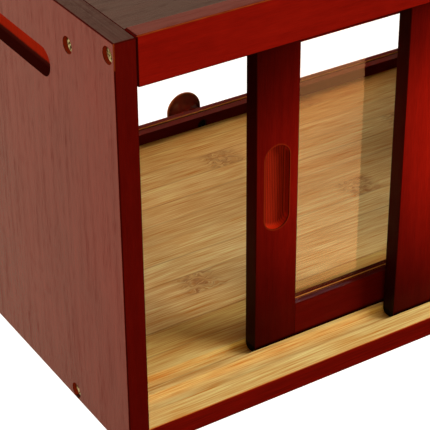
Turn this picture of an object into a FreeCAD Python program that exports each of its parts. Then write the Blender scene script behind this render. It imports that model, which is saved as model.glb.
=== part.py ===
import FreeCAD, Part
import os
from math import asin, cos, sin
from FreeCAD import Vector

# Bread box: a wooden case with two sliding glazed doors in front and, behind a
# grooved sill, a shallow drawer whose tall glazed front closes the back.
# Everything is drawn from the case's front left bottom corner (X to the right,
# Y to the back, Z up) and is moved to the part's own frame when it is saved.

# ---- driving dimensions, millimetres ----
case_width = 424.0
case_depth = 280.0
case_height = 240.0
panel = 12.0             # side panels and top panel
eased = 0.8              # rounding of every outer corner of the wood
rail_depth = 11.0        # front and rear rails under the top
rail_bottom = 214.3
rail_proud = 0.8         # the front rail stands above the side panels
rail_gap = 0.25          # hairline between a rail and a side panel

sill_depth = 74.5        # fixed grooved board that the doors run on
sill_height = 12.2
groove_width = 12.7
groove_starts = (13.6, 28.8)
sill_groove_depth = 4.0
track_depth = 47.0       # upper track, behind the front rail
track_groove_depth = 10.0

door_width = 227.8
door_bottom = 8.5
door_top = 219.0
door_thickness = 10.0
door_fronts = (14.6, 29.8)
door_rounding = 3.5      # long edges that run in the grooves
stile_width = 27.0
door_rail_top = 33.4     # upper side of a door's bottom rail
door_rail_low = 195.9    # lower side of a door's top rail
rear_door_left = 98.1
slide_gap = 0.3          # least gap between pieces that move past each other

pane_thickness = 3.0
pane_groove = 3.2
pane_groove_depth = 5.0

cutter = 16.0            # router that makes the grips and the finger pulls
cove = 1.8               # rounding where a recess's wall meets its floor
pull_length = 52.0
pull_depth = 5.0
pull_height = 113.6
grip_height = 200.9
grip_start = 65.9
grip_depth = 7.7

base_height = 6.8
base_rebate = 6.0
drawer_gap = 0.8         # each side of the drawer
drawer_floor = 5.0       # thickness of its board
drawer_side = 8.0
drawer_side_top = 22.0
drawer_front_depth = 13.0
drawer_stile = 20.0
drawer_rail_top = 20.0
drawer_pane_middle = 274.3
drawer_groove_depth = 3.8
drawer_near_gap = 0.5
stop_tab_length = 12.0
stop_tab_top = 30.0
stop_start = 242.0
stop_length = 20.0

knob_radius = 13.5
knob_length = 21.0
knob_rim = 13.0          # distance of the widest ring from the rail
knob_height = 13.5

foot_height = 4.0
foot_radius = 8.0
foot_inset = 26.0

right_inner = case_width - panel
case_back = case_depth
origin = Vector(-case_width / 2, -(case_depth + knob_length) / 2, foot_height)

os.makedirs("parts", exist_ok=True)


def save(name, *solids):
    """Writes one node, moved to the part's own frame."""
    shape = solids[0] if len(solids) == 1 else Part.makeCompound(list(solids))
    placed = shape.copy()
    placed.translate(origin)
    placed.exportStep("parts/" + name + ".step")
    print(name, len(placed.Solids), round(placed.Volume / 1000, 2), "cm3")


def box(x, y, z):
    """A block between two values on each axis."""
    low = Vector(x[0], y[0], z[0])
    return Part.makeBox(x[1] - x[0], y[1] - y[0], z[1] - z[0], low)


def round_edges(shape, radius, wanted=lambda edge: True):
    """Rounds the edges that the test picks out."""
    return shape.makeFillet(radius, [e for e in shape.Edges if wanted(e)])


def middle(edge):
    return edge.CenterOfMass


def runs_along(edge, axis):
    """True for a straight edge parallel to an axis."""
    line = edge.Vertexes[-1].Point - edge.Vertexes[0].Point
    return line.cross(axis).Length < 1e-6


def board(x, y, z):
    """A board with all its corners eased."""
    return round_edges(box(x, y, z), eased)


def stadium(centre, along, out, length, depth):
    """Solid of a round-ended routed recess that opens towards out."""
    across = along.cross(out)
    straight = (length - cutter) / 2
    radius = cutter / 2
    corner = [centre + along * a * straight + across * b * radius
              for a, b in ((-1, -1), (1, -1), (1, 1), (-1, 1))]
    tip = [centre + along * a * length / 2 for a in (1, -1)]
    outline = Part.Wire([
        Part.LineSegment(corner[0], corner[1]).toShape(),
        Part.Arc(corner[1], tip[0], corner[2]).toShape(),
        Part.LineSegment(corner[2], corner[3]).toShape(),
        Part.Arc(corner[3], tip[1], corner[0]).toShape(),
    ])
    solid = Part.Face(outline).extrude(out * -depth)
    floor = centre - out * depth

    def at_floor(edge):
        return abs((middle(edge) - floor).dot(out)) < 0.01

    return round_edges(solid, cove, at_floor)


def turned(profile, start, direction):
    """Turns a profile of (radius, distance) points about a line."""
    points = [Vector(r, 0, d) for r, d in profile]
    outline = Part.makePolygon(points + [points[0]])
    solid = Part.Face(outline).revolve(Vector(), Vector(0, 0, 1), 360)
    turn = FreeCAD.Rotation(Vector(0, 0, 1), direction)
    solid.Placement = FreeCAD.Placement(start, turn)
    return solid


# ---- screws ----

def screw_sizes(head, shank, length):
    """Head radius, shank radius, length, head rim and cone height of one screw."""
    return {"head": head, "shank": shank, "length": length,
            "rim": 0.28 * head, "cone": 0.55 * head}


case_screw = screw_sizes(4.3, 2.0, 36.0)
small_screw = screw_sizes(2.8, 1.5, 12.0)
board_screw = screw_sizes(1.9, 1.0, 11.0)
case_screw_sink = 2.2     # heads lie this deep in the side panels
case_hole = 4.55          # radius of the hole above a head


def cross_recess(head, start, direction):
    """Cross-shaped driver recess, cut into a head that starts at start."""
    depth = 0.45 * head
    arm = 1.1 * head
    width = 0.3 * head
    bars = [Part.makeBox(a, b, depth, Vector(-a / 2, -b / 2, 0))
            for a, b in ((arm, width), (width, arm))]
    cross = bars[0].fuse(bars[1])
    turn = FreeCAD.Rotation(Vector(0, 0, 1), direction)
    cross.Placement = FreeCAD.Placement(start, turn)
    return cross


def screw(size, start, direction):
    """Flat-headed wood screw whose head's top is at start."""
    neck = size["rim"] + size["cone"]
    profile = [(0, 0), (size["head"], 0), (size["head"], size["rim"]),
               (size["shank"], neck), (size["shank"], size["length"] - 3),
               (0.4, size["length"]), (0, size["length"])]
    solid = turned(profile, start, direction)
    return solid.cut(cross_recess(size["head"], start, direction))


def screw_hole(size, start, direction, clear, sink):
    """Hole for a screw, with a wider mouth sink deep above its head."""
    neck = size["rim"] + size["cone"]
    profile = [(0, -sink - 1), (clear, -sink - 1), (clear, 0), (size["head"], 0),
               (size["head"], size["rim"]), (size["shank"], neck),
               (size["shank"], size["length"] - 3), (0.4, size["length"]),
               (0, size["length"])]
    return turned(profile, start, direction)


# Each place on a side panel is (depth from the front, height).
case_screw_places = [
    (6.3, 231.8),                              # front rail
    (46.1, 220.8),                             # upper track
    (7.0, 5.5), (59.4, 5.5),                   # sill
    (105.0, 234.0), (215.0, 234.0),            # top panel
    (case_depth - 6.3, 231.8),                 # rear rail
]


def on_side(side, depth_in, height, inset):
    """A point inset from the outer face of a side panel: side is -1 or +1."""
    x = inset if side < 0 else case_width - inset
    return Vector(x, depth_in, height)


def case_screw_starts(side):
    return [on_side(side, y, z, case_screw_sink) for y, z in case_screw_places]


def inward(side):
    return Vector(-side, 0, 0)


def drill_case_screws(shape):
    """Takes the case screws' holes out of a board."""
    for side in (-1, 1):
        for start in case_screw_starts(side):
            hole = screw_hole(case_screw, start, inward(side), case_hole, case_screw_sink)
            if shape.BoundBox.intersect(hole.BoundBox):
                shape = shape.cut(hole)
    return shape


# Screws driven up from below: base into the side panels, drawer board into its sides.
up = Vector(0, 0, 1)
base_screw_depths = (100.0, 175.0, 250.0)
base_screw_starts = [Vector(x, y, 0)
                     for x in (1.5 * base_rebate, case_width - 1.5 * base_rebate)
                     for y in base_screw_depths]
drawer_bottom = base_height + slide_gap
drawer_left = panel + drawer_gap
drawer_right = right_inner - drawer_gap
drawer_near = sill_depth + drawer_near_gap
drawer_face = case_back - drawer_front_depth
board_screw_inset = 0.75 * drawer_side
board_screw_starts = [Vector(x, y, drawer_bottom)
                      for x in (drawer_left + board_screw_inset,
                                drawer_right - board_screw_inset)
                      for y in (95.0, 170.0, 245.0)]


def drill(shape, size, starts, direction):
    """Takes flush screw holes out of a board."""
    for start in starts:
        shape = shape.cut(screw_hole(size, start, direction, size["head"], 0))
    return shape


# ---- case ----

foot_places = [Vector(x, y, 0)
               for x in (foot_inset, case_width - foot_inset)
               for y in (foot_inset, case_depth - foot_inset)]
foot_screw = screw_sizes(2.8, 1.5, 7.5)
foot_screw_sink = 2.0
foot_screw_starts = [p - Vector(0, 0, foot_height - foot_screw_sink) for p in foot_places]

stop_height = (drawer_side_top + 0.6, drawer_side_top + 10.6)
stop_screw_starts = [Vector(x, stop_start + stop_length / 2, sum(stop_height) / 2)
                     for x in (panel + drawer_side, right_inner - drawer_side)]


def side_panel(side):
    """One side: grip outside, screw holes, and a rebate for the base below."""
    outer = 0 if side < 0 else case_width
    x = sorted((outer, outer - side * panel))
    shape = board(x, (0, case_depth), (0, case_height))
    middle_grip = Vector(outer, case_depth / 2, grip_height)
    length = case_depth - 2 * grip_start
    shape = shape.cut(stadium(middle_grip, Vector(0, 1, 0), Vector(side, 0, 0),
                              length, grip_depth))
    rebate = sorted((outer - side * base_rebate, outer - side * (panel + 1)))
    shape = shape.cut(box(rebate, (sill_depth, case_depth + 1), (-1, base_height)))
    shape = drill_case_screws(shape)
    shape = drill(shape, small_screw, base_screw_starts, up)
    stop_screw = stop_screw_starts[0 if side < 0 else 1]
    return drill(shape, small_screw, [stop_screw], Vector(side, 0, 0))


def grooved(shape, bottom, top):
    """Takes both door grooves out of a board."""
    for start in groove_starts:
        cut = box((0, case_width), (start, start + groove_width), (bottom, top))
        shape = shape.cut(cut)
    return shape


def front_sill():
    shape = box((panel, right_inner), (0, sill_depth), (0, sill_height))
    shape = round_edges(shape, eased, lambda e: runs_along(e, Vector(1, 0, 0)))
    shape = grooved(shape, sill_height - sill_groove_depth, sill_height + 1)
    shape = drill_case_screws(shape)
    return drill_feet(shape)


def drill_feet(shape):
    for start in foot_screw_starts:
        hole = screw_hole(foot_screw, start, up, foot_screw["head"], foot_screw_sink)
        if shape.BoundBox.intersect(hole.BoundBox):
            shape = shape.cut(hole)
    return shape


def upper_track():
    shape = box((panel, right_inner), (rail_depth, rail_depth + track_depth),
                (rail_bottom, case_height - panel))
    shape = grooved(shape, rail_bottom - 1, rail_bottom + track_groove_depth)
    return drill_case_screws(shape)


def top_rail(y, top):
    shape = board((panel + rail_gap, right_inner - rail_gap), y, (rail_bottom, top))
    return drill_case_screws(shape)


def top_panel():
    shape = box((panel, right_inner), (rail_depth, case_back - rail_depth),
                (case_height - panel, case_height))
    return drill_case_screws(shape)


def base_panel():
    shape = box((base_rebate, case_width - base_rebate), (sill_depth, case_back),
                (0, base_height))
    shape = drill(shape, small_screw, base_screw_starts, up)
    return drill_feet(shape)


def stop_block(side):
    """Block on a side panel that keeps the drawer down and stops it."""
    inner = panel if side < 0 else right_inner
    x = sorted((inner, inner - side * drawer_side))
    shape = box(x, (stop_start, stop_start + stop_length), stop_height)
    stop_screw = stop_screw_starts[0 if side < 0 else 1]
    return drill(shape, small_screw, [stop_screw], Vector(side, 0, 0))


def rubber_foot(place):
    """Tapered foot with a hole for its screw."""
    profile = [(0, 0), (foot_radius, 0), (foot_radius - 0.6, foot_height - 0.8),
               (foot_radius - 1.4, foot_height), (0, foot_height)]
    foot = turned(profile, place, Vector(0, 0, -1))
    start = place - Vector(0, 0, foot_height - foot_screw_sink)
    return foot.cut(screw_hole(foot_screw, start, up, foot_screw["head"] + 0.5, foot_screw_sink))


save("left_side_panel", side_panel(-1))
save("right_side_panel", side_panel(1))
save("top_panel", top_panel())
save("top_front_rail", top_rail((0, rail_depth), case_height + rail_proud))
save("top_rear_rail", top_rail((case_back - rail_depth, case_back), case_height))
save("upper_track", upper_track())
save("front_sill", front_sill())
save("base_panel", base_panel())
save("case_screws_left", *[screw(case_screw, s, inward(-1)) for s in case_screw_starts(-1)])
save("case_screws_right", *[screw(case_screw, s, inward(1)) for s in case_screw_starts(1)])
save("base_screws", *[screw(small_screw, s, up) for s in base_screw_starts])
save("drawer_stop_left", stop_block(-1))
save("drawer_stop_right", stop_block(1))
save("drawer_stop_screws", *[screw(small_screw, s, Vector(side, 0, 0))
                             for s, side in zip(stop_screw_starts, (-1, 1))])
save("rubber_feet", *[rubber_foot(p) for p in foot_places])
save("foot_screws", *[screw(foot_screw, s, up) for s in foot_screw_starts])


# ---- glazed frames: the two doors and the drawer's front share one joinery ----

def stile(frame, x, inner):
    """Upright whose inner edge is grooved for the pane and the rails' tongues."""
    shape = box(x, frame["y"], frame["z"])
    shape = round_edges(shape, frame["rounding"], lambda e: runs_along(e, Vector(1, 0, 0)))
    shape = round_edges(shape, 0.5, lambda e: runs_along(e, up))
    edge = x[1] if inner > 0 else x[0]
    groove_x = sorted((edge + inner, edge - inner * frame["groove"]))
    groove_z = (frame["z"][0] + frame["haunch"], frame["z"][1] - frame["haunch"])
    return shape.cut(box(groove_x, frame["slot"], groove_z))


def frame_rail(frame, z, glass_side):
    """Crossbar with a tongue at each end and a groove for the pane."""
    x = (frame["x"][0] + frame["stile"], frame["x"][1] - frame["stile"])
    shape = box(x, frame["y"], z)
    outer = z[0] if glass_side > 0 else z[1]

    def long_outer(edge):
        return runs_along(edge, Vector(1, 0, 0)) and abs(middle(edge).z - outer) < 0.01

    shape = round_edges(shape, frame["rounding"], long_outer)
    groove_edge = z[1] if glass_side > 0 else z[0]
    groove_z = sorted((groove_edge + glass_side, groove_edge - glass_side * frame["groove"]))
    shape = shape.cut(box((x[0] - 1, x[1] + 1), frame["slot"], groove_z))
    tongue_z = (max(z[0], frame["z"][0] + frame["haunch"]),
                min(z[1], frame["z"][1] - frame["haunch"]))
    if glass_side > 0:
        tongue_z = (tongue_z[0], z[1] - frame["groove"])
    else:
        tongue_z = (z[0] + frame["groove"], tongue_z[1])
    for start, end in ((x[0] - frame["groove"], x[0]), (x[1], x[1] + frame["groove"])):
        shape = shape.fuse(box((start, end), frame["slot"], tongue_z))
    return shape.removeSplitter()


def glass(frame):
    """Clear pane, a little smaller than its grooves."""
    play = 0.25
    reach = frame["groove"] - play
    x = (frame["x"][0] + frame["stile"] - reach, frame["x"][1] - frame["stile"] + reach)
    z = (frame["low_rail"][1] - reach, frame["high_rail"][0] + reach)
    centre = sum(frame["slot"]) / 2
    y = (centre - pane_thickness / 2, centre + pane_thickness / 2)
    return box(x, y, z)


def slot_about(y):
    return (y - pane_groove / 2, y + pane_groove / 2)


def door_frame(left, front):
    """Sizes of one sliding door."""
    return {
        "x": (left, left + door_width),
        "y": (front, front + door_thickness),
        "z": (door_bottom, door_top),
        "slot": slot_about(front + door_thickness / 2),
        "stile": stile_width, "groove": pane_groove_depth, "haunch": 5.0,
        "rounding": door_rounding,
        "low_rail": (door_bottom, door_rail_top),
        "high_rail": (door_rail_low, door_top),
    }


def finger_pull(frame, x):
    """Routed recess in the front face of a stile."""
    centre = Vector(x, frame["y"][0], pull_height)
    return stadium(centre, up, Vector(0, -1, 0), pull_length, pull_depth)


def save_door(name, frame, pull_side):
    """Saves a door's five pieces; pull_side is -1 for a pull on the left stile."""
    left = stile(frame, (frame["x"][0], frame["x"][0] + stile_width), 1)
    right = stile(frame, (frame["x"][1] - stile_width, frame["x"][1]), -1)
    if pull_side < 0:
        left = left.cut(finger_pull(frame, frame["x"][0] + stile_width / 2))
    else:
        right = right.cut(finger_pull(frame, frame["x"][1] - stile_width / 2))
    save(name + "_left_stile", left)
    save(name + "_right_stile", right)
    save(name + "_bottom_rail", frame_rail(frame, frame["low_rail"], 1))
    save(name + "_top_rail", frame_rail(frame, frame["high_rail"], -1))
    save(name + "_pane", glass(frame))


front_door_left = right_inner - slide_gap - door_width
save_door("front_door", door_frame(front_door_left, door_fronts[0]), 1)
save_door("rear_door", door_frame(rear_door_left, door_fronts[1]), -1)

# ---- drawer ----

drawer_frame = {
    "x": (drawer_left, drawer_right),
    "y": (drawer_face, case_back),
    "z": (drawer_bottom, rail_bottom - 1.0),
    "slot": slot_about(drawer_pane_middle),
    "stile": drawer_stile, "groove": drawer_groove_depth, "haunch": 4.0,
    "rounding": eased,
    "low_rail": (drawer_bottom, drawer_rail_top),
    "high_rail": (rail_bottom - 1.0 - drawer_stile, rail_bottom - 1.0),
}
board_rebate = drawer_side / 2
dowel_radius = 2.0
dowel_length = 20.0
dowel_height = 15.5
dowel_starts = [Vector(x, drawer_face - dowel_length / 2, dowel_height)
                for x in (drawer_left + drawer_side / 2, drawer_right - drawer_side / 2)]
knob_place = Vector(case_width / 2, case_back, knob_height)
knob_screw_head = 3.9
knob_screw_sink = 1.6    # depth of the head below the rail's inner face


def dowels():
    return [Part.makeCylinder(dowel_radius, dowel_length, s, Vector(0, 1, 0))
            for s in dowel_starts]


def drawer_side_board(side):
    """Low side with a stop tab at its inner end and a rebate for the board."""
    outer = drawer_left if side < 0 else drawer_right
    x = sorted((outer, outer - side * drawer_side))
    shape = box(x, (drawer_near, drawer_face), (drawer_bottom, drawer_side_top))
    tab = box(x, (drawer_near, drawer_near + stop_tab_length),
              (drawer_side_top, stop_tab_top))
    shape = shape.fuse(tab).removeSplitter()
    rebate = sorted((outer - side * board_rebate, outer - side * (drawer_side + 1)))
    floor_top = drawer_bottom + drawer_floor
    shape = shape.cut(box(rebate, (drawer_near - 1, drawer_face + 1), (0, floor_top)))
    shape = drill(shape, board_screw, board_screw_starts, up)
    for dowel in dowels():
        shape = shape.cut(dowel)
    return shape


def drawer_board():
    x = (drawer_left + board_rebate, drawer_right - board_rebate)
    shape = box(x, (drawer_near, drawer_face), (drawer_bottom, drawer_bottom + drawer_floor))
    return drill(shape, board_screw, board_screw_starts, up)


def drawer_stile_board(side):
    x = ((drawer_left, drawer_left + drawer_stile) if side < 0
         else (drawer_right - drawer_stile, drawer_right))
    shape = stile(drawer_frame, x, -side)
    for dowel in dowels():
        shape = shape.cut(dowel)
    return shape


def knob_screw_profile(head, shank):
    """Pan head, then a shank that ends inside the knob."""
    depth = drawer_front_depth - knob_screw_sink
    return [(0, 0), (head - 0.8, 0), (head, 0.7), (head, 2.2), (shank, 2.2),
            (shank, depth + 8), (0.4, depth + 10), (0, depth + 10)]


def knob_screw():
    start = Vector(knob_place.x, drawer_face + knob_screw_sink, knob_height)
    along = Vector(0, 1, 0)
    solid = turned(knob_screw_profile(knob_screw_head, 2.0), start, along)
    return solid.cut(cross_recess(knob_screw_head, start, along))


def knob_screw_hole():
    """Room for the screw, with a flat-bottomed mouth for its head."""
    depth = drawer_front_depth + 8.4
    mouth = knob_screw_sink + 2.2
    profile = [(0, -1), (4.1, -1), (4.1, mouth), (2.0, mouth), (2.0, depth - 0.4),
               (0.4, depth + 1.6), (0, depth + 1.6)]
    start = Vector(knob_place.x, drawer_face, knob_height)
    return turned(profile, start, Vector(0, 1, 0))


def drawer_knob():
    """Turned mushroom knob: foot, waist, flared underside and a low crown."""
    foot, waist = 7.2, 6.0
    points = [Vector(foot, 0, 0), Vector(waist + 0.3, 0, 2.6), Vector(waist, 0, 5.0)]
    shoulder = Vector(knob_radius - 0.7, 0, knob_rim - 0.9)
    flare = Part.Arc(points[2], Vector(waist + 1.9, 0, 8.9), shoulder)
    rim_side = Vector(knob_radius, 0, knob_rim)
    rim_top = Vector(knob_radius - 0.8, 0, knob_rim + 1.3)
    crown_top = Vector(0, 0, knob_length)
    rise = knob_length - rim_top.z
    crown_radius = (rim_top.x ** 2 + rise ** 2) / (2 * rise)
    half_turn = asin(rim_top.x / crown_radius) / 2
    crown_middle = Vector(crown_radius * sin(half_turn), 0,
                          knob_length - crown_radius * (1 - cos(half_turn)))
    crown = Part.Arc(rim_top, crown_middle, crown_top)
    profile = Part.Wire([
        Part.LineSegment(Vector(), points[0]).toShape(),
        Part.Arc(*points).toShape(),
        flare.toShape(),
        Part.Arc(shoulder, rim_side, rim_top).toShape(),
        crown.toShape(),
        Part.LineSegment(crown_top, Vector()).toShape(),
    ])
    solid = Part.Face(profile).revolve(Vector(), up, 360)
    turn = FreeCAD.Rotation(up, Vector(0, 1, 0))
    solid.Placement = FreeCAD.Placement(knob_place, turn)
    return solid.cut(knob_screw_hole())


save("drawer_board", drawer_board())
save("drawer_side_left", drawer_side_board(-1))
save("drawer_side_right", drawer_side_board(1))
save("drawer_board_screws", *[screw(board_screw, s, up) for s in board_screw_starts])
save("drawer_dowels", *dowels())
save("drawer_front_left_stile", drawer_stile_board(-1))
save("drawer_front_right_stile", drawer_stile_board(1))
save("drawer_front_bottom_rail",
     frame_rail(drawer_frame, drawer_frame["low_rail"], 1).cut(knob_screw_hole()))
save("drawer_front_top_rail", frame_rail(drawer_frame, drawer_frame["high_rail"], -1))
save("drawer_front_pane", glass(drawer_frame))
save("drawer_knob", drawer_knob())
save("knob_screw", knob_screw())
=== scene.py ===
import math

import bpy
import numpy as np
from mathutils import Matrix, Vector

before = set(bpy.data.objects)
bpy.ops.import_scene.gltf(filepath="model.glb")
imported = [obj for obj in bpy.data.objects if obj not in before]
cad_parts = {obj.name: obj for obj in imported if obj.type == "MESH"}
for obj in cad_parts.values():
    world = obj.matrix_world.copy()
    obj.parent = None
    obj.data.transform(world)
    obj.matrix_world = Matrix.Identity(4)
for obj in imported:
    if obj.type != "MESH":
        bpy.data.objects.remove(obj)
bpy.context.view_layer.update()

scene = bpy.context.scene
print("frame loaded:", len(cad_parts), "nodes")


# Patterns are placed in case millimetres, which start at the case's left front lower corner.
# This is that corner, in millimetres from the part's own origin.
caseCorner = (-212.0, -150.5, 4.0)
caseMiddle = 212.0    # X halfway between the sides, in case millimetres


# camera

cameraSettings = {
    "place": (-0.53516, -0.74921, 0.57324),   # m
    "azimuth": -32.169,   # degrees, 0 looks along +Y
    "elevation": 31.747,
    "roll": -0.442,
    "lens": 139.6,        # mm
    "sensor": 36.0,       # mm
    "nearest": 0.01,      # m
}


def makeCamera(s):
    a, e, r = (math.radians(s[k]) for k in ("azimuth", "elevation", "roll"))
    back = Vector((math.sin(a) * math.cos(e), -math.cos(a) * math.cos(e), math.sin(e)))
    level = Vector((0, 0, 1)).cross(back).normalized()
    steep = back.cross(level)
    right = math.cos(r) * level + math.sin(r) * steep
    up = math.cos(r) * steep - math.sin(r) * level
    turn = Matrix((right, up, back)).transposed().to_4x4()
    data = bpy.data.cameras.new("camera")
    data.lens = s["lens"]
    data.sensor_width = s["sensor"]
    data.clip_start = s["nearest"]
    camera = bpy.data.objects.new("camera", data)
    camera.matrix_world = Matrix.Translation(s["place"]) @ turn
    scene.collection.objects.link(camera)
    scene.camera = camera


makeCamera(cameraSettings)
scene.view_settings.view_transform = "Standard"
print("camera ready")


# studio

studioSettings = {
    "floorReach": 6.0,       # m from the middle
    "floorPoints": 25,       # along each side
    "floorColour": "#8c7458",
    "floorGlow": 1.15,       # keeps the paper white to the eye, without lighting the box
    "paneCard": "#ffab6a",   # what the panes mirror where the paper is
    "paneGlow": 4.6,
    "skyColour": "#fff0cc",
    "skyBright": 0.80,       # straight behind, which the lacquered side and top mirror
    "skyDark": 0.0,          # in front, where the room is dark
    "skyTurn": (0.3, 1.0),   # Y of the directions where it is still dark, and fully bright
    "backdrop": "#ffffff",   # what the eye sees behind the box
}
lamps = {
    # name: place (m), aimed at (m), size (m), watts, colour
    "key": ((1.38, -1.42, 1.32), (0.05, -0.08, 0.12), 0.95, 46.0, "#ffffff"),
    "above": ((0.1, -0.55, 1.5), (0.0, -0.15, 0.10), 0.4, 5.0, "#ffe8b8"),
    "front": ((-0.75, -1.35, 0.4), (0.0, 0.0, 0.10), 0.6, 6.0, "#ffdc98"),
    "left": ((-1.7, 0.35, 0.9), (-0.2, 0.0, 0.12), 0.6, 22.0, "#ffffff"),
    "back": ((1.3, 0.75, 0.9), (0.0, 0.0, 0.10), 0.5, 10.0, "#ffbe80"),
}


def linear(code):
    # sRGB hex to the linear values that the shaders take
    parts = [int(code[i:i + 2], 16) / 255 for i in (1, 3, 5)]
    return [c / 12.92 if c <= 0.04045 else ((c + 0.055) / 1.055) ** 2.4 for c in parts] + [1.0]


def addNode(tree, kind, inputs=None, stops=(), **settings):
    # one node with its settings, a ramp's stops (place, hex colour), and its inputs linked or
    # filled in; a node given as an input stands for its first output in use
    node = tree.nodes.new("ShaderNode" + kind)
    for name, value in settings.items():
        setattr(node, name, value)
    for i, (place, code) in enumerate(stops):
        line = node.color_ramp.elements
        stop = line[i] if i < len(line) else line.new(place)
        stop.position = place
        stop.color = linear(code)
    for name, value in (inputs or {}).items():
        if isinstance(value, bpy.types.Node):
            value = next(socket for socket in value.outputs if socket.enabled)
        if isinstance(value, bpy.types.NodeSocket):
            tree.links.new(value, node.inputs[name])
        else:
            node.inputs[name].default_value = value
    return node


def seenOnly(tree):
    # 1 where the eye sees the surface, directly or through panes, 0 where it only gives light
    ray = addNode(tree, "LightPath").outputs
    straight = addNode(tree, "Math", {
        0: ray["Is Camera Ray"], 1: ray["Is Transmission Ray"]}, operation="MAXIMUM")
    bounces = addNode(tree, "Math", {
        0: ray["Diffuse Depth"], 1: ray["Glossy Depth"]}, operation="ADD")
    return addNode(tree, "Math", {0: straight, 1: bounces}, operation="SUBTRACT", use_clamp=True)


def makeSky(s):
    world = bpy.data.worlds.new("studio")
    scene.world = world
    world.use_nodes = True
    tree = world.node_tree
    tree.nodes.clear()
    direction = addNode(tree, "TexCoord").outputs["Generated"]
    parts = addNode(tree, "SeparateXYZ", {0: direction}).outputs
    stillDark, fullyBright = s["skyTurn"]
    bright = addNode(tree, "MapRange", {
        "Value": parts["Y"], "From Min": stillDark, "From Max": fullyBright,
        "To Min": s["skyDark"], "To Max": s["skyBright"]}, interpolation_type="SMOOTHSTEP")
    room = addNode(tree, "Background", {"Color": linear(s["skyColour"]), "Strength": bright})
    white = addNode(tree, "Background", {"Color": linear(s["backdrop"])})
    both = addNode(tree, "MixShader", {0: seenOnly(tree), 1: room, 2: white})
    addNode(tree, "OutputWorld", {"Surface": both})


def makeLamp(name, place, target, size, watts, colour):
    data = bpy.data.lights.new(name, "AREA")
    data.shape = "SQUARE"
    data.size = size
    data.energy = watts
    data.color = linear(colour)[:3]
    lamp = bpy.data.objects.new(name, data)
    lamp.location = place
    aim = Vector(target) - Vector(place)
    lamp.rotation_euler = aim.to_track_quat("-Z", "Y").to_euler()
    lamp.visible_camera = False
    lamp.visible_glossy = False    # lacquer and metal mirror only the sky
    scene.collection.objects.link(lamp)


def gridMesh(name, x, y, z):
    # a grid of points, rows by columns, as a mesh of quads
    rows, columns = x.shape
    index = np.arange(rows * columns).reshape(rows, columns)
    quads = np.stack([index[:-1, :-1], index[:-1, 1:], index[1:, 1:], index[1:, :-1]], axis=-1)
    points = np.stack([x, y, z], axis=-1).reshape(-1, 3)
    mesh = bpy.data.meshes.new(name)
    mesh.from_pydata(points.tolist(), [], quads.reshape(-1, 4).tolist())
    mesh.validate()
    return mesh


def makeFloor(s):
    # one flat sheet of paper: height 0 over a square grid
    steps = np.linspace(-s["floorReach"], s["floorReach"], s["floorPoints"])
    x, y = np.meshgrid(steps, steps, indexing="ij")
    floor = bpy.data.objects.new("floor", gridMesh("floor", x, y, np.zeros_like(x)))
    scene.collection.objects.link(floor)
    paper, tree = newMaterial("paperFloor")
    matt = addNode(tree, "BsdfDiffuse", {"Color": linear(s["floorColour"])})
    glow = addNode(tree, "Math", {0: seenOnly(tree), 1: s["floorGlow"]}, operation="MULTIPLY")
    light = addNode(tree, "Emission", {"Strength": glow})
    sheet = addNode(tree, "AddShader", {0: matt, 1: light})
    # panes mirror a warm card there, and satin surfaces see past the paper to the room
    card = addNode(tree, "Emission", {
        "Color": linear(s["paneCard"]), "Strength": s["paneGlow"]})
    past = addNode(tree, "BsdfTransparent")
    ray = addNode(tree, "LightPath").outputs
    mirror = addNode(tree, "MixShader", {0: ray["Is Singular Ray"], 1: past, 2: card})
    bounced = addNode(tree, "Math", {
        0: ray["Is Glossy Ray"], 1: ray["Is Transmission Ray"]},
        operation="SUBTRACT", use_clamp=True)
    both = addNode(tree, "MixShader", {0: bounced, 1: sheet, 2: mirror})
    addNode(tree, "OutputMaterial", {"Surface": both})
    paper.cycles.emission_sampling = "NONE"
    floor.data.materials.append(paper)


def newMaterial(name):
    material = bpy.data.materials.new(name)
    material.use_nodes = True
    tree = material.node_tree
    tree.nodes.clear()
    return material, tree


makeSky(studioSettings)
for lampName, lampValues in lamps.items():
    makeLamp(lampName, *lampValues)
makeFloor(studioSettings)
print("studio ready:", len(lamps), "lamps")


# patterns that the finishes share

def casePlace(tree):
    # object coordinates as case millimetres: X from the left side, Y from the front, Z upwards
    place = addNode(tree, "TexCoord").outputs["Object"]
    return addNode(tree, "VectorMath", {
        0: place, 1: (1000, 1000, 1000), 2: [-c for c in caseCorner]}, operation="MULTIPLY_ADD")


def grainSpace(tree, axis, width, length):
    # case millimetres in units of one fibre: X along the grain, Y and Z across it
    parts = addNode(tree, "SeparateXYZ", {0: casePlace(tree)}).outputs
    order = {"X": "XYZ", "Y": "YZX", "Z": "ZXY"}[axis]
    turned = addNode(tree, "CombineXYZ", {n: parts[k] for n, k in zip("XYZ", order)})
    return addNode(tree, "Mapping", {
        "Vector": turned, "Scale": (1 / length, 1 / width, 1 / width)})


def withinBox(tree, place, box, soft):
    # 1 inside a box (its low and high corner), fading to 0 over its last soft millimetres
    low, high = box
    above = addNode(tree, "VectorMath", {0: place, 1: low}, operation="SUBTRACT")
    below = addNode(tree, "VectorMath", {0: high, 1: place}, operation="SUBTRACT")
    least = addNode(tree, "VectorMath", {0: above, 1: below}, operation="MINIMUM")
    parts = addNode(tree, "SeparateXYZ", {0: least}).outputs
    two = addNode(tree, "Math", {0: parts["X"], 1: parts["Y"]}, operation="MINIMUM")
    three = addNode(tree, "Math", {0: two, 1: parts["Z"]}, operation="MINIMUM")
    return addNode(tree, "MapRange", {"Value": three, "From Max": soft})


def facing(tree, direction):
    # how far a face looks along a direction: 1 straight along it, 0 square to it or away
    normal = addNode(tree, "NewGeometry").outputs["Normal"]
    along = addNode(tree, "VectorMath", {0: normal, 1: direction}, operation="DOT_PRODUCT")
    return addNode(tree, "Math", {0: along, 1: 0.0}, operation="MAXIMUM")


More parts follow.
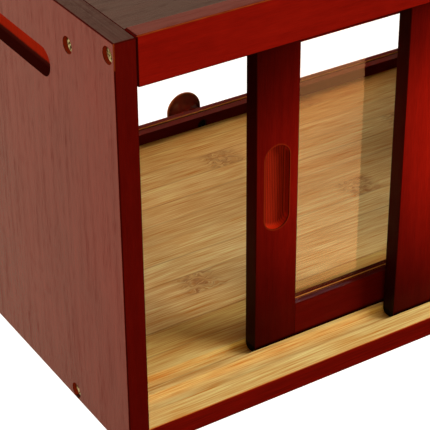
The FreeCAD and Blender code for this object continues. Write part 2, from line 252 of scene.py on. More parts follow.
def squaredNormal(tree):
    # how much of a face looks along X, Y and Z, which adds up to 1
    normal = addNode(tree, "NewGeometry").outputs["Normal"]
    return addNode(tree, "VectorMath", {0: normal, 1: normal}, operation="MULTIPLY")


# stained bamboo

stainedBambooSettings = {
    # laminated bamboo, sanded, dipped in a dark cherry stain and sprayed with satin lacquer:
    # even deep red, thin darker fibres along the grain, a soft grey sheen at low angles
    "tones": ((0.24, "#5f0903"), (0.5, "#7b0d05"), (0.76, "#8f1409")),
    "fibre": 0.5,            # mm across; the real fibres are nearer 0.3 mm, too fine to show
    "fibreLength": 9.0,
    "streak": 4.0,
    "streakLength": 70.0,
    "streakShare": 0.4,
    "cloud": 40.0,
    "cloudLength": 64.0,
    "cloudShare": 0.25,
    "bend": 1.5,
    "rough": 0.22,
    "roughSpread": 0.05,
    "bump": 0.15,
    "bumpHeight": 0.0002,    # m
    # bare: where the wood has no sheen of lacquer, as in pores, on eased edges and in cuts
    "bareRough": 0.7,
    "bareGloss": 0.04,
    "pores": (0.5, 0.36),    # grain values where pores begin and are deepest
    "poreBare": 0.45,
    "easedEdge": (0.95, 0.75),   # flatness where an eased edge begins and is full
    "eased": "#3c0602",
    "edgeHighlight": "#e2672a",     # painted highlight on edges that catch the light
    "edgeHighlightSoft": 0.9,       # mm
    "mattSide": 0.65,        # share of the front's mattness that a left side has
    "plies": 0.9,            # mm, on end grain
    "pliesLength": 90.0,
    "pliesRough": 2.0,
    "pliesHeight": 2.5,
    "paneGroove": 1.62,      # mm either side of its middle
}
doorShadeSettings = {
    # colours of the doors that stand in for soft shadow and the fall of the light, which the
    # lamps don't give; they are fixed to the doors and travel with them
    "foot": (8.0, 120.0),      # Z where a door is darkest and no longer darker
    "line": (12.6, 14.0),      # Z of the painted contact shadow: a dark line along its foot, on the sill
    "lineShade": 0.12,
    "stileWidth": 27.0,
    "leftShade": 0.73,         # a left stile is darker on its left
    "rightShade": 1.27,
    "headShade": 0.45,         # and towards its top
}
sideCutSettings = {
    # a side panel's cuts, the same on both, so X is measured from the middle of the case:
    # a grip with a clean orange red floor and a lower wall made nearly black by painted shade,
    # and screw holes
    "grip": ((200.3, 65.6, 192.6), (211.95, 214.4, 209.2)),
    "gripSoft": 0.2,
    "gripTone": 0.38,
    "gripLowerWallShade": -0.8,
    "gripTones": ((0.2, "#360a05"), (0.7, "#9c1e08")),
    "holes": ((209.6, 1.2, 1.2), (211.8, 278.8, 238.8)),
    "holeSoft": 0.1,
    "hole": "#8a2a10",
    "speckle": 0.5,
}
pullSettings = {
    # a finger pull: a rounded slot in a stile, its cut wood more orange than the face and ribbed
    # by the cutter; painted shade darkens its floor and right wall and, more, its rim, so that
    # its swept edges stand out orange as if lit, and a painted highlight makes a faint orange
    # line round it
    "tones": ((0.2, "#5c1408"), (0.5, "#9a2410"), (0.95, "#c4280a")),
    "tone": 0.62,
    "floor": -0.49,
    "rightWallShade": -0.3,
    "rim": -0.6,
    "rimDepth": 0.9,         # mm
    "soft": 0.2,             # mm
    "speckle": 0.5,
    "ribs": 1.1,             # mm from one pass of the cutter to the next
    "ribTone": 0.15,
    "ribHeight": 0.7,
    "middleHeight": 113.6,   # Z
    "halfSpine": 18.0,       # mm from its middle to where its round ends start
    "highlightRadius": 8.1,
    "highlightWidth": 0.45,
    "highlightShare": 0.11,
}


def stainGrain(tree, axis, s):
    # fibres, streaks and clouds along the grain
    fine = addNode(tree, "TexNoise", {
        "Vector": grainSpace(tree, axis, s["fibre"], s["fibreLength"]),
        "Scale": 1.0, "Detail": 3.0})
    broad = addNode(tree, "TexNoise", {
        "Vector": grainSpace(tree, axis, s["streak"], s["streakLength"]),
        "Scale": 1.0, "Detail": 2.0})
    cloud = addNode(tree, "TexNoise", {
        "Vector": grainSpace(tree, axis, s["cloud"], s["cloudLength"]),
        "Scale": 1.0, "Detail": 2.0})
    grain = addNode(tree, "Mix", {
        "Factor": s["streakShare"], "A": fine, "B": broad}, data_type="FLOAT")
    mottle = addNode(tree, "Mix", {
        "Factor": s["cloudShare"], "A": grain, "B": cloud}, data_type="FLOAT")
    return fine, broad, grain, mottle


def footShaded(tree, shade, parts, footShade, s=doorShadeSettings):
    # painted shade: darker towards a door's foot, and a painted contact shadow as a dark line
    # where it stands on the sill
    darkest, clear = s["foot"]
    foot = addNode(tree, "MapRange", {
        "Value": parts["Z"], "From Min": darkest, "From Max": clear,
        "To Min": footShade, "To Max": 1.0}, interpolation_type="SMOOTHSTEP")
    shade = addNode(tree, "Math", {0: shade, 1: foot}, operation="MULTIPLY")
    lineLow, lineHigh = s["line"]
    line = addNode(tree, "MapRange", {
        "Value": parts["Z"], "From Min": lineLow, "From Max": lineHigh,
        "To Min": s["lineShade"], "To Max": 1.0})
    return addNode(tree, "Math", {0: shade, 1: line}, operation="MULTIPLY")


def stileShaded(tree, shade, parts, left, headStart, headEnd, s=doorShadeSettings):
    # painted light and shade: a stile brighter towards its right edge and darker towards its top
    across = addNode(tree, "MapRange", {
        "Value": parts["X"], "From Min": left, "From Max": left + s["stileWidth"],
        "To Min": s["leftShade"], "To Max": s["rightShade"]})
    head = addNode(tree, "MapRange", {
        "Value": parts["Z"], "From Min": headStart, "From Max": headEnd,
        "To Min": 1.0, "To Max": s["headShade"]}, interpolation_type="SMOOTHSTEP")
    both = addNode(tree, "Math", {0: across, 1: head}, operation="MULTIPLY")
    return addNode(tree, "Math", {0: shade, 1: both}, operation="MULTIPLY")


def fromMiddle(tree, parts):
    # case millimetres with X from the middle, the same on the left and the right
    middle = addNode(tree, "Math", {0: parts["X"], 1: caseMiddle}, operation="SUBTRACT")
    out = addNode(tree, "Math", {0: middle}, operation="ABSOLUTE")
    return addNode(tree, "CombineXYZ", {"X": out, "Y": parts["Y"], "Z": parts["Z"]})


def sideCut(tree, place, colour, bare, mottle, s=sideCutSettings):
    holes = withinBox(tree, place, s["holes"], s["holeSoft"])
    colour = addNode(tree, "Mix", {
        "Factor": holes, "A": colour, "B": linear(s["hole"])}, data_type="RGBA")
    bare = addNode(tree, "Math", {0: bare, 1: holes}, operation="MAXIMUM")
    inside = withinBox(tree, place, s["grip"], s["gripSoft"])
    # painted shade: the grip's lower wall, which faces up, is made darker
    tone = addNode(tree, "Math", {
        0: facing(tree, (0.0, 0.0, 1.0)), 1: s["gripLowerWallShade"], 2: s["gripTone"]},
        operation="MULTIPLY_ADD")
    speckled = addNode(tree, "Math", {
        0: mottle, 1: s["speckle"], 2: tone}, operation="MULTIPLY_ADD")
    routed = addNode(tree, "ValToRGB", {"Fac": speckled}, stops=s["gripTones"])
    colour = addNode(tree, "Mix", {
        "Factor": inside, "A": colour, "B": routed}, data_type="RGBA")
    bare = addNode(tree, "Math", {0: bare, 1: inside}, operation="MAXIMUM")
    return colour, bare


def pullCut(tree, place, box, colour, bare, height, mottle, edgeHighlight, s=pullSettings):
    low, high = box
    inside = withinBox(tree, place, box, s["soft"])
    floorward = facing(tree, (0.0, -1.0, 0.0))
    rimBox = (low, (high[0], low[1] + s["rimDepth"], high[2]))
    rim = withinBox(tree, place, rimBox, s["soft"])
    # painted light and shade: the floor, the right wall and the rim are made darker, leaving the
    # swept edges bright
    tone = addNode(tree, "Math", {
        0: floorward, 1: s["floor"], 2: s["tone"]}, operation="MULTIPLY_ADD")
    tone = addNode(tree, "Math", {
        0: facing(tree, (-1.0, 0.0, 0.0)), 1: s["rightWallShade"], 2: tone}, operation="MULTIPLY_ADD")
    tone = addNode(tree, "Math", {0: rim, 1: s["rim"], 2: tone}, operation="MULTIPLY_ADD")

    # out: mm from the slot's spine, the middles of its two round ends and the line between them
    spine = ((low[0] + high[0]) / 2, 0.0, s["middleHeight"])
    offset = addNode(tree, "VectorMath", {0: place, 1: spine}, operation="SUBTRACT")
    away = addNode(tree, "VectorMath", {0: offset}, operation="ABSOLUTE")
    past = addNode(tree, "VectorMath", {
        0: away, 1: (0.0, 0.0, s["halfSpine"])}, operation="SUBTRACT")
    past = addNode(tree, "VectorMath", {0: past, 1: (0.0, 0.0, 0.0)}, operation="MAXIMUM")
    past = addNode(tree, "VectorMath", {0: past, 1: (1.0, 0.0, 1.0)}, operation="MULTIPLY")
    out = addNode(tree, "VectorMath", {0: past}, operation="LENGTH")
    # painted highlight: a faint orange line round the rim, on faces that look to the front
    line = addNode(tree, "Math", {
        0: out, 1: s["highlightRadius"], 2: s["highlightWidth"]}, operation="COMPARE")
    rimHighlight = addNode(tree, "Math", {0: line, 1: floorward}, operation="MULTIPLY")
    rimHighlight = addNode(tree, "Math", {0: rimHighlight, 1: s["highlightShare"]}, operation="MULTIPLY")
    colour = addNode(tree, "Mix", {
        "Factor": rimHighlight, "A": colour, "B": linear(edgeHighlight)}, data_type="RGBA")

    # the cutter's passes lie side by side across the floor
    across = addNode(tree, "SeparateXYZ", {0: place}).outputs["X"]
    wave = addNode(tree, "Math", {0: across, 1: 2 * math.pi / s["ribs"]}, operation="MULTIPLY")
    rise = addNode(tree, "Math", {0: wave}, operation="SINE")
    passes = addNode(tree, "Math", {0: rise, 1: inside}, operation="MULTIPLY")
    tone = addNode(tree, "Math", {0: passes, 1: s["ribTone"], 2: tone}, operation="MULTIPLY_ADD")
    height = addNode(tree, "Math", {
        0: passes, 1: s["ribHeight"], 2: height}, operation="MULTIPLY_ADD")
    speckled = addNode(tree, "Math", {
        0: mottle, 1: s["speckle"], 2: tone}, operation="MULTIPLY_ADD")
    routed = addNode(tree, "ValToRGB", {"Fac": speckled}, stops=s["tones"])
    colour = addNode(tree, "Mix", {
        "Factor": inside, "A": colour, "B": routed}, data_type="RGBA")
    bare = addNode(tree, "Math", {0: bare, 1: inside}, operation="MAXIMUM")
    return colour, bare, height


def stainedBamboo(name, axis, shades, gloss=0.5, matt=0.0, patchy=0.0, endRough=0.0,
                  footShade=None, stile=None, sideCuts=False, pull=None, paintedEdgeHighlight=None,
                  paneGrooves=None, s=stainedBambooSettings):
    material, tree = newMaterial(name)
    fine, broad, grain, mottle = stainGrain(tree, axis, s)
    stain = addNode(tree, "ValToRGB", {"Fac": mottle}, stops=s["tones"])
    place = casePlace(tree)
    parts = addNode(tree, "SeparateXYZ", {0: place}).outputs

    # shades: a face's brightness by the way it looks: darker end grain, and painted light and
    # shade for the fall of the light
    shade = addNode(tree, "VectorMath", {
        0: squaredNormal(tree), 1: shades}, operation="DOT_PRODUCT")
    if footShade:
        shade = footShaded(tree, shade, parts, footShade)
    if stile:
        shade = stileShaded(tree, shade, parts, *stile)
    colour = addNode(tree, "Mix", {
        "Factor": 1.0, "A": stain, "B": shade}, data_type="RGBA", blend_type="MULTIPLY")

    rough = addNode(tree, "MapRange", {
        "Value": fine, "To Min": s["rough"] - s["roughSpread"],
        "To Max": s["rough"] + s["roughSpread"]})
    if patchy:
        rough = addNode(tree, "Math", {
            0: broad, 1: patchy, 2: rough}, operation="MULTIPLY_ADD")
        rough = addNode(tree, "Math", {0: rough, 1: patchy / 2}, operation="SUBTRACT")
    height = fine
    if endRough:
        # end grain on top: rougher, with the plies side by side
        plies = addNode(tree, "TexNoise", {
            "Vector": grainSpace(tree, "Y", s["plies"], s["pliesLength"]),
            "Scale": 1.0, "Detail": 2.0})
        end = addNode(tree, "Math", {
            0: facing(tree, (0.0, 0.0, 1.0)), 1: plies}, operation="MULTIPLY")
        rough = addNode(tree, "Math", {
            0: end, 1: endRough * s["pliesRough"], 2: rough}, operation="MULTIPLY_ADD")
        height = addNode(tree, "Math", {
            0: end, 1: s["pliesHeight"], 2: height}, operation="MULTIPLY_ADD")

    # an eased edge is darker and without sheen; flat is 1 on a flat face and less on a round one
    squared = squaredNormal(tree)
    flat = addNode(tree, "VectorMath", {0: squared, 1: squared}, operation="DOT_PRODUCT")
    begins, isFull = s["easedEdge"]
    bare = addNode(tree, "MapRange", {"Value": flat, "From Min": begins, "From Max": isFull})
    colour = addNode(tree, "Mix", {
        "Factor": bare, "A": colour, "B": linear(s["eased"])}, data_type="RGBA")
    begins, isFull = s["pores"]
    pores = addNode(tree, "MapRange", {
        "Value": grain, "From Min": begins, "From Max": isFull, "To Max": s["poreBare"]})
    bare = addNode(tree, "Math", {0: bare, 1: pores}, operation="MAXIMUM")
    if matt:
        # less sheen on the front, and a little less on the left side
        front = addNode(tree, "Math", {
            0: facing(tree, (0.0, -1.0, 0.0)), 1: matt}, operation="MULTIPLY")
        side = addNode(tree, "Math", {
            0: facing(tree, (-1.0, 0.0, 0.0)), 1: matt * s["mattSide"]}, operation="MULTIPLY")
        front = addNode(tree, "Math", {0: front, 1: side}, operation="MAXIMUM")
        bare = addNode(tree, "Math", {0: bare, 1: front}, operation="MAXIMUM")

    if sideCuts:
        place = fromMiddle(tree, parts)
        colour, bare = sideCut(tree, place, colour, bare, mottle)
    if pull:
        colour, bare, height = pullCut(
            tree, place, pull, colour, bare, height, mottle, s["edgeHighlight"])
    if paintedEdgeHighlight:
        # painted highlight: an orange line where an edge catches the light
        edge = withinBox(tree, place, paintedEdgeHighlight, s["edgeHighlightSoft"])
        thin = addNode(tree, "Math", {0: edge, 1: fine}, operation="MULTIPLY")
        colour = addNode(tree, "Mix", {
            "Factor": thin, "A": colour, "B": linear(s["edgeHighlight"])}, data_type="RGBA")
    if paneGrooves:
        # bare wood on the walls of a pane's groove, near its mouth, made pale as a painted
        # highlight of the pane's lit bottom edge
        for middle in paneGrooves["middles"]:
            groove = addNode(tree, "Math", {
                0: parts["Y"], 1: middle, 2: s["paneGroove"]}, operation="COMPARE")
            mouth = addNode(tree, "Math", {
                0: parts["Z"], 1: paneGrooves["above"]}, operation="GREATER_THAN")
            pale = addNode(tree, "Math", {0: groove, 1: mouth}, operation="MULTIPLY")
            colour = addNode(tree, "Mix", {
                "Factor": pale, "A": colour, "B": linear(paneGrooves["colour"])},
                data_type="RGBA")

    bump = addNode(tree, "Bump", {
        "Height": height, "Strength": s["bump"], "Distance": s["bumpHeight"]})
    lacquered = addNode(tree, "BsdfPrincipled", {
        "Base Color": colour, "Roughness": rough, "Normal": bump,
        "IOR": s["bend"], "Specular IOR Level": gloss})
    cut = addNode(tree, "BsdfPrincipled", {
        "Base Color": colour, "Roughness": s["bareRough"], "Normal": bump,
        "IOR": s["bend"], "Specular IOR Level": s["bareGloss"]})
    shader = addNode(tree, "MixShader", {0: bare, 1: lacquered, 2: cut})
    addNode(tree, "OutputMaterial", {"Surface": shader})
    return material


# natural bamboo

naturalBambooSettings = {
    # the same laminated bamboo left pale: strips side by side with thin glue joints, each its
    # own tone, which changes at a knot, where the fibres curl round brown flecks
    "tones": ((0.0, "#e5bd74"), (0.35, "#e9c37a"), (0.7, "#edca7f"), (1.0, "#f2d085")),
    "strip": 19.6,           # mm
    "fibre": 0.75,           # mm across, coarser than the real fibres, so that they show
    "fibreLength": 26.0,
    "streak": 5.0,
    "streakLength": 110.0,
    "streakShare": 0.28,
    "spread": (1.0, 2.9, 4.6),   # dark fibres are browner and light ones paler: blue changes most
    "brightness": 0.93,
    "jointBrown": "#9a6030",
    "jointEdge": 0.7,        # mm from the middle of a joint
    "jointCore": 0.15,
    "jointShare": 0.9,
    "knotBrown": "#9a4c14",
    "knotLength": 15.0,      # half of it, along the grain
    "knotEnd": 1.15,         # of that half length: where a knot ends and where it is full
    "knotCore": 0.4,
    "knotDraw": 17.0,        # how far the draw of a strip's tone moves on past a knot
    "curl": 11.0,            # mm that a fibre strays at a knot
    "swirl": 4.5,
    "swirlLength": 6.5,
    "fleck": 1.7,
    "fleckLength": 7.0,
    "fleckRange": (0.44, 0.62),
    "fleckShare": (0.15, 0.6),
    "rough": 0.55,
    "bend": 1.5,
    "gloss": 0.1,
    "bump": 0.1,
    "bumpHeight": 0.0002,    # m
}
stainedFrontSettings = {
    # the stain stops raggedly on the sill's front edge, orange where it is thin
    "tones": ((0.3, "#540702"), (0.7, "#7a0c04")),
    "thin": "#d9701f",
    "ragged": 0.8,           # mm
    "raggedStart": 0.3,
    "thinRange": (-0.9, -0.2),
    "fullRange": (-0.15, 0.15),
}
# where a knot is, X and Y
boardKnots = ((108, 105), (254, 144), (198.5, 223), (352, 84), (318, 124), (389, 163),
              (62, 183), (336, 203), (30, 243), (290, 262))
sillKnots = ((372, 26), (238, 46))
# a tint that stands in for soft shadow, which the lamps don't give: browner towards the front and
# rear, and on the board a painted light, a little brighter and paler, in between; it is fixed to
# the board or sill. front and rear: Y where it is full and where it ends
boardTint = {"front": (45.0, 100.0), "rear": (270.0, 215.0),
             "edge": (0.72, 0.6, 0.42), "middle": (1.06, 1.07, 1.2)}
sillTint = {"front": (-10.0, -5.0), "rear": (60.0, 22.0),
            "edge": (0.72, 0.6, 0.42), "middle": (1.0, 1.0, 1.0)}


def knotFields(tree, parts, number, firstJoint, knots, s):
    # near: 1 at the middle of a knot and 0 at its ends, within its own strip
    # past: 1 on a strip beyond its knot
    near = past = 0.0
    for knotX, knotY in knots:
        own = addNode(tree, "Math", {
            0: number, 1: math.floor((knotY - firstJoint) / s["strip"]), 2: 0.5},
            operation="COMPARE")
        along = addNode(tree, "Math", {0: parts["X"], 1: knotX}, operation="SUBTRACT")
        away = addNode(tree, "Math", {0: along}, operation="ABSOLUTE")
        close = addNode(tree, "MapRange", {
            "Value": away, "From Min": s["knotLength"] * s["knotEnd"],
            "From Max": s["knotLength"] * s["knotCore"]}, interpolation_type="SMOOTHSTEP")
        one = addNode(tree, "Math", {0: own, 1: close}, operation="MULTIPLY")
        beyond = addNode(tree, "Math", {0: along, 1: 0.0}, operation="GREATER_THAN")
        side = addNode(tree, "Math", {0: own, 1: beyond}, operation="MULTIPLY")
        near = addNode(tree, "Math", {0: near, 1: one}, operation="ADD")
        past = addNode(tree, "Math", {0: past, 1: side}, operation="ADD")
    return near, past


def glueJoint(tree, across, broad, colour, s):
    # a thin brown line where two strips meet, stronger in places
    half = addNode(tree, "Math", {0: across, 1: 0.5}, operation="ADD")
    joint = addNode(tree, "Math", {0: half}, operation="FLOOR")
    off = addNode(tree, "Math", {0: across, 1: joint}, operation="SUBTRACT")
    gap = addNode(tree, "Math", {0: off}, operation="ABSOLUTE")
    line = addNode(tree, "MapRange", {
        "Value": gap, "From Min": s["jointEdge"] / s["strip"],
        "From Max": s["jointCore"] / s["strip"]})
    strength = addNode(tree, "TexWhiteNoise", {"W": joint}, noise_dimensions="1D")
    strong = addNode(tree, "Math", {0: strength, 1: broad}, operation="MULTIPLY")
    inked = addNode(tree, "Math", {0: strong, 1: line}, operation="MULTIPLY")
    inked = addNode(tree, "Math", {
        0: inked, 1: s["jointShare"]}, operation="MULTIPLY", use_clamp=True)
    return addNode(tree, "Mix", {
        "Factor": inked, "A": colour, "B": linear(s["jointBrown"])}, data_type="RGBA")


def frontStain(tree, parts, fine, grain, colour, s=stainedFrontSettings):
    ragged = addNode(tree, "Math", {
        0: fine, 1: s["ragged"], 2: s["raggedStart"]}, operation="MULTIPLY_ADD")
    depth = addNode(tree, "Math", {0: ragged, 1: parts["Y"]}, operation="SUBTRACT")
    thinStart, thinEnd = s["thinRange"]
    thin = addNode(tree, "MapRange", {
        "Value": depth, "From Min": thinStart, "From Max": thinEnd})
    fullStart, fullEnd = s["fullRange"]
    full = addNode(tree, "MapRange", {
        "Value": depth, "From Min": fullStart, "From Max": fullEnd})
    stain = addNode(tree, "ValToRGB", {"Fac": grain}, stops=s["tones"])
    edged = addNode(tree, "Mix", {
        "Factor": thin, "A": colour, "B": linear(s["thin"])}, data_type="RGBA")
    return addNode(tree, "Mix", {"Factor": full, "A": edged, "B": stain}, data_type="RGBA")


def softShadow(tree, parts, colour, s):
    ends = []
    for tintFull, tintEnds in (s["front"], s["rear"]):
        ends.append(addNode(tree, "MapRange", {
            "Value": parts["Y"], "From Min": tintFull, "From Max": tintEnds},
            interpolation_type="SMOOTHSTEP"))
    clear = addNode(tree, "Math", {0: ends[0], 1: ends[1]}, operation="MULTIPLY")
    tint = addNode(tree, "Mix", {
        "Factor": clear, "A": (*s["edge"], 1.0), "B": (*s["middle"], 1.0)}, data_type="RGBA")
    return addNode(tree, "Mix", {
        "Factor": 1.0, "A": colour, "B": tint}, data_type="RGBA", blend_type="MULTIPLY")


def naturalBamboo(name, firstJoint, knots, shadow, contrast=1.0, stainedFront=False,
                  s=naturalBambooSettings):
    # firstJoint: Y of a glue joint, from which the strips are counted
    material, tree = newMaterial(name)
    parts = addNode(tree, "SeparateXYZ", {0: casePlace(tree)}).outputs
    across = addNode(tree, "Math", {
        0: parts["Y"], 1: 1 / s["strip"], 2: -firstJoint / s["strip"]},
        operation="MULTIPLY_ADD")
    number = addNode(tree, "Math", {0: across}, operation="FLOOR")
    near, past = knotFields(tree, parts, number, firstJoint, knots, s)

    # the fibres curl at a knot: Y strays by a slow noise
    swirl = addNode(tree, "TexNoise", {
        "Vector": grainSpace(tree, "X", s["swirl"], s["swirlLength"]),
        "Scale": 1.0, "Detail": 1.0})
    centred = addNode(tree, "Math", {0: swirl, 1: 0.5}, operation="SUBTRACT")
    bent = addNode(tree, "Math", {0: centred, 1: near}, operation="MULTIPLY")
    stray = addNode(tree, "Math", {
        0: bent, 1: s["curl"], 2: parts["Y"]}, operation="MULTIPLY_ADD")
    curled = addNode(tree, "CombineXYZ", {"X": parts["X"], "Y": stray, "Z": parts["Z"]})
    fields = []
    for width, length, detail in ((s["fibre"], s["fibreLength"], 3.0),
                                  (s["streak"], s["streakLength"], 3.0),
                                  (s["fleck"], s["fleckLength"], 2.0)):
        space = addNode(tree, "Mapping", {
            "Vector": curled, "Scale": (1 / length, 1 / width, 1 / width)})
        fields.append(addNode(tree, "TexNoise", {
            "Vector": space, "Scale": 1.0, "Detail": detail}))
    fine, broad, fleck = fields

    # each strip's tone, and a new one past its knot
    draw = addNode(tree, "Math", {
        0: past, 1: s["knotDraw"], 2: number}, operation="MULTIPLY_ADD")
    own = addNode(tree, "TexWhiteNoise", {"W": draw}, noise_dimensions="1D")
    tone = addNode(tree, "ValToRGB", {"Fac": own}, stops=s["tones"])
    grain = addNode(tree, "Mix", {
        "Factor": s["streakShare"], "A": fine, "B": broad}, data_type="FLOAT")
    spread = [k * contrast for k in s["spread"]]
    shade = addNode(tree, "VectorMath", {
        0: grain, 1: spread, 2: [s["brightness"] - k / 2 for k in spread]},
        operation="MULTIPLY_ADD")
    colour = addNode(tree, "Mix", {
        "Factor": 1.0, "A": tone, "B": shade}, data_type="RGBA", blend_type="MULTIPLY")
    colour = glueJoint(tree, across, broad, colour, s)

    least, most = s["fleckRange"]
    few, many = s["fleckShare"]
    flecks = addNode(tree, "MapRange", {
        "Value": fleck, "From Min": least, "From Max": most, "To Min": few, "To Max": many})
    ring = addNode(tree, "Math", {0: near, 1: flecks}, operation="MULTIPLY")
    colour = addNode(tree, "Mix", {
        "Factor": ring, "A": colour, "B": linear(s["knotBrown"])}, data_type="RGBA")
    if stainedFront:
        colour = frontStain(tree, parts, fine, grain, colour)
    colour = softShadow(tree, parts, colour, shadow)
    bump = addNode(tree, "Bump", {
        "Height": fine, "Strength": s["bump"], "Distance": s["bumpHeight"]})
    shader = addNode(tree, "BsdfPrincipled", {
        "Base Color": colour, "Roughness": s["rough"], "Normal": bump,
        "IOR": s["bend"], "Specular IOR Level": s["gloss"]})
    addNode(tree, "OutputMaterial", {"Surface": shader})
    return material


# panes, screws, knob, dowels, feet

acrylicSettings = {
    # cast acrylic sheet, polished: clear and mirror-smooth, faintly warmer in broad patches
    "film": ((0.35, "#ffffff"), (0.65, "#fcfbf9")),
    "filmPatch": 71.43,      # mm
    "daylight": "#ebe9e7",   # what its shadow lets through
    # real acrylic bends light by 1.49; less here, so that the panes mirror less
    "doorBend": 1.38,
    "drawerBend": 1.15,
}


def clearAcrylic(name, bend, s=acrylicSettings):
    material, tree = newMaterial(name)
    place = addNode(tree, "TexCoord").outputs["Object"]
    film = addNode(tree, "TexNoise", {
        "Vector": place, "Scale": 1000 / s["filmPatch"], "Detail": 2.0})
    tint = addNode(tree, "ValToRGB", {"Fac": film}, stops=s["film"])
    pane = addNode(tree, "BsdfPrincipled", {
        "Base Color": tint, "Roughness": 0.0, "IOR": bend, "Transmission Weight": 1.0})
    clear = addNode(tree, "BsdfTransparent", {"Color": linear(s["daylight"])})
    ray = addNode(tree, "LightPath").outputs
    both = addNode(tree, "MixShader", {0: ray["Is Shadow Ray"], 1: pane, 2: clear})
    addNode(tree, "OutputMaterial", {"Surface": both})
    return material


screwSettings = {
    # plated steel screws: a bright skin with dull spots
    "brass": {"tones": ((0.38, "#4f3f14"), (0.6, "#fff3b0")), "rough": 0.35, "metallic": 0.4},
    "black": {"tones": ((0.38, "#0d0c0c"), (0.6, "#1c1a19")), "rough": 0.45, "metallic": 1.0},
    "spot": 1.4286,          # mm
    "roughSpread": 0.1,
    "bump": 0.4,
    "bumpHeight": 0.0003,    # m
}


def platedMetal(name, plating, s=screwSettings):
    material, tree = newMaterial(name)
    place = addNode(tree, "TexCoord").outputs["Object"]
    spots = addNode(tree, "TexNoise", {
        "Vector": place, "Scale": 1000 / s["spot"], "Detail": 3.0})
    skin = addNode(tree, "ValToRGB", {"Fac": spots}, stops=s[plating]["tones"])
    shine = addNode(tree, "MapRange", {
        "Value": spots, "To Min": s[plating]["rough"] + s["roughSpread"],
        "To Max": s[plating]["rough"] - s["roughSpread"]})
    dent = addNode(tree, "Bump", {
        "Height": spots, "Strength": s["bump"], "Distance": s["bumpHeight"]})
    shader = addNode(tree, "BsdfPrincipled", {
        "Base Color": skin, "Roughness": shine, "Normal": dent,
        "Metallic": s[plating]["metallic"]})
    addNode(tree, "OutputMaterial", {"Surface": shader})
    return material


knobSettings = {
    # turned hardwood, stained red-brown and dipped in gloss lacquer, orange on its widest ring
    "tones": ((0.3, "#340401"), (0.7, "#5c0d03")),
    "fibre": 2.2,
    "fibreLength": 20.0,
    "rim": "#9e4a12",
    "axis": (caseMiddle, 0.0, 13.5),
    "rimStart": 12.6,        # mm from the axis
    "rimFull": 13.4,
    "rimShare": 0.6,
    "rough": 0.16,
    "bend": 1.5,
    "gloss": 0.13,
}


def turnedWood(s=knobSettings):
    material, tree = newMaterial("turnedWoodGloss")
    fine = addNode(tree, "TexNoise", {
        "Vector": grainSpace(tree, "Y", s["fibre"], s["fibreLength"]),
        "Scale": 1.0, "Detail": 2.0})
    wood = addNode(tree, "ValToRGB", {"Fac": fine}, stops=s["tones"])
    offset = addNode(tree, "VectorMath", {0: casePlace(tree), 1: s["axis"]}, operation="SUBTRACT")
    across = addNode(tree, "VectorMath", {0: offset, 1: (1.0, 0.0, 1.0)}, operation="MULTIPLY")
    radius = addNode(tree, "VectorMath", {0: across}, operation="LENGTH")
    thin = addNode(tree, "MapRange", {
        "Value": radius, "From Min": s["rimStart"], "From Max": s["rimFull"],
        "To Max": s["rimShare"]})
    colour = addNode(tree, "Mix", {
        "Factor": thin, "A": wood, "B": linear(s["rim"])}, data_type="RGBA")
    shader = addNode(tree, "BsdfPrincipled", {
        "Base Color": colour, "Roughness": s["rough"],
        "IOR": s["bend"], "Specular IOR Level": s["gloss"]})
    addNode(tree, "OutputMaterial", {"Surface": shader})
    return material


dowelSettings = {
    # plain beech: pale, with short brown flecks
    "tones": ((0.0, "#a97f55"), (1.0, "#d9b68b")),
    "fibre": 0.8,
    "fibreLength": 5.0,
    "rough": 0.7,
}


def beechDowel(s=dowelSettings):
    material, tree = newMaterial("beechDowel")
    fine = addNode(tree, "TexNoise", {
        "Vector": grainSpace(tree, "Y", s["fibre"], s["fibreLength"]),
        "Scale": 1.0, "Detail": 2.0})
    wood = addNode(tree, "ValToRGB", {"Fac": fine}, stops=s["tones"])
    shader = addNode(tree, "BsdfPrincipled", {"Base Color": wood, "Roughness": s["rough"]})
    addNode(tree, "OutputMaterial", {"Surface": shader})
    return material


footSettings = {
    # moulded rubber: near black, dull, a little dusty
    "tones": ((0.0, "#151414"), (1.0, "#2b2a29")),
    "dust": 2.5,             # mm
    "rough": 0.85,
}


def footRubber(s=footSettings):
    material, tree = newMaterial("footRubber")
    place = addNode(tree, "TexCoord").outputs["Object"]
    dust = addNode(tree, "TexNoise", {
        "Vector": place, "Scale": 1000 / s["dust"], "Detail": 3.0})
    skin = addNode(tree, "ValToRGB", {"Fac": dust}, stops=s["tones"])
    shader = addNode(tree, "BsdfPrincipled", {"Base Color": skin, "Roughness": s["rough"]})
    addNode(tree, "OutputMaterial", {"Surface": shader})
    return material
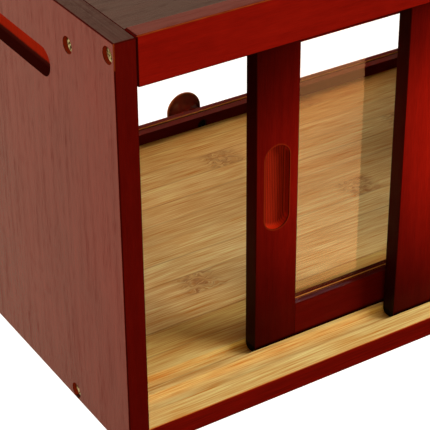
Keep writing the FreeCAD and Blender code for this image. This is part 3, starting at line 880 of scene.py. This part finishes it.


# the pieces and their finishes

# a stained piece has a name, the axis of its grain, the brightness of its faces along X, Y and Z,
# which is partly painted light and shade (the front door's stiles are set brighter than the rear
# door's), and what else it needs; stile: X of its left edge, and Z where its painted shade
# towards the head starts and ends; pull and the painted edge highlight: a box around them
finishes = {
    "side": stainedBamboo(
        "stainedBambooSide", "Z", (0.9, 0.46, 0.2), endRough=0.2, sideCuts=True,
        paintedEdgeHighlight=((211.3, -1, 226), (213, 0.7, 242))),
    "top": stainedBamboo("stainedBambooTop", "X", (0.4, 0.8, 0.22), patchy=0.5),
    "frontRail": stainedBamboo(
        "stainedBambooFrontRail", "X", (0.5, 1.06, 0.6), gloss=0.3, matt=0.9,
        paintedEdgeHighlight=((-1, -1, 240.1), (425, 0.7, 242))),
    "frontStile": stainedBamboo(
        "stainedBambooFrontStile", "Z", (0.42, 1.43, 0.4), gloss=0.13, matt=0.9,
        footShade=0.15, stile=(183.9, 150, 200),
        pull=((388.0, 14.75, 85.0), (408.5, 22.0, 142.0))),
    "rearStile": stainedBamboo(
        "stainedBambooRearStile", "Z", (0.38, 0.81, 0.4), gloss=0.13, matt=0.9,
        footShade=0.27, stile=(98.1, 120, 190),
        pull=((101.5, 29.95, 85.0), (121.5, 37.0, 142.0))),
    "doorRail": stainedBamboo(
        "stainedBambooDoorRail", "X", (0.5, 0.82, 0.5), gloss=0.18, matt=0.9, footShade=0.5,
        paneGrooves={"middles": (19.6, 34.8), "above": 32.7, "colour": "#b87838"}),
    "drawerStile": stainedBamboo(
        "stainedBambooDrawerStile", "Z", (0.5, 0.7, 0.5), gloss=0.3),
    "drawerRail": stainedBamboo(
        "stainedBambooDrawerRail", "X", (0.4, 0.2, 0.5), gloss=0.045, matt=0.95,
        paneGrooves={"middles": (274.3,), "above": 19.1, "colour": "#c07a34"}),
    "inside": stainedBamboo("stainedBambooInside", "Y", (0.8, 0.8, 0.8)),
    "board": naturalBamboo("naturalBambooBoard", 75.3, boardKnots, boardTint),
    "sill": naturalBamboo(
        "naturalBambooSill", -3.1, sillKnots, sillTint, contrast=0.95, stainedFront=True),
    "acrylic": clearAcrylic("clearAcrylic", acrylicSettings["doorBend"]),
    "drawerAcrylic": clearAcrylic("clearAcrylicDrawer", acrylicSettings["drawerBend"]),
    "brass": platedMetal("brassPlatedSteel", "brass"),
    "black": platedMetal("blackenedSteel", "black"),
    "turned": turnedWood(),
    "beech": beechDowel(),
    "rubber": footRubber(),
}
print("finishes made:", len(finishes))

nodeFinishes = {
    "side": ["left_side_panel", "right_side_panel"],
    "top": ["top_panel"],
    "frontRail": ["top_front_rail", "top_rear_rail", "upper_track"],
    "frontStile": ["front_door_left_stile", "front_door_right_stile"],
    "rearStile": ["rear_door_left_stile", "rear_door_right_stile"],
    "doorRail": ["front_door_bottom_rail", "front_door_top_rail",
                 "rear_door_bottom_rail", "rear_door_top_rail"],
    "drawerStile": ["drawer_front_left_stile", "drawer_front_right_stile"],
    "drawerRail": ["drawer_front_bottom_rail", "drawer_front_top_rail"],
    "inside": ["drawer_side_left", "drawer_side_right", "drawer_stop_left", "drawer_stop_right"],
    "board": ["drawer_board", "base_panel"],
    "sill": ["front_sill"],
    "acrylic": ["front_door_pane", "rear_door_pane"],
    "drawerAcrylic": ["drawer_front_pane"],
    "brass": ["case_screws_left", "case_screws_right", "base_screws", "drawer_stop_screws",
              "foot_screws", "drawer_board_screws"],
    "black": ["knob_screw"],
    "turned": ["drawer_knob"],
    "beech": ["drawer_dowels"],
    "rubber": ["rubber_feet"],
}

for finish, names in nodeFinishes.items():
    for name in names:
        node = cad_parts[name]
        if not node.material_slots:
            node.data.materials.append(finishes[finish])
        for place in node.material_slots:
            place.material = finishes[finish]
unfinished = sorted(set(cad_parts) - {n for names in nodeFinishes.values() for n in names})
print("finishes set; nodes left out:", unfinished)
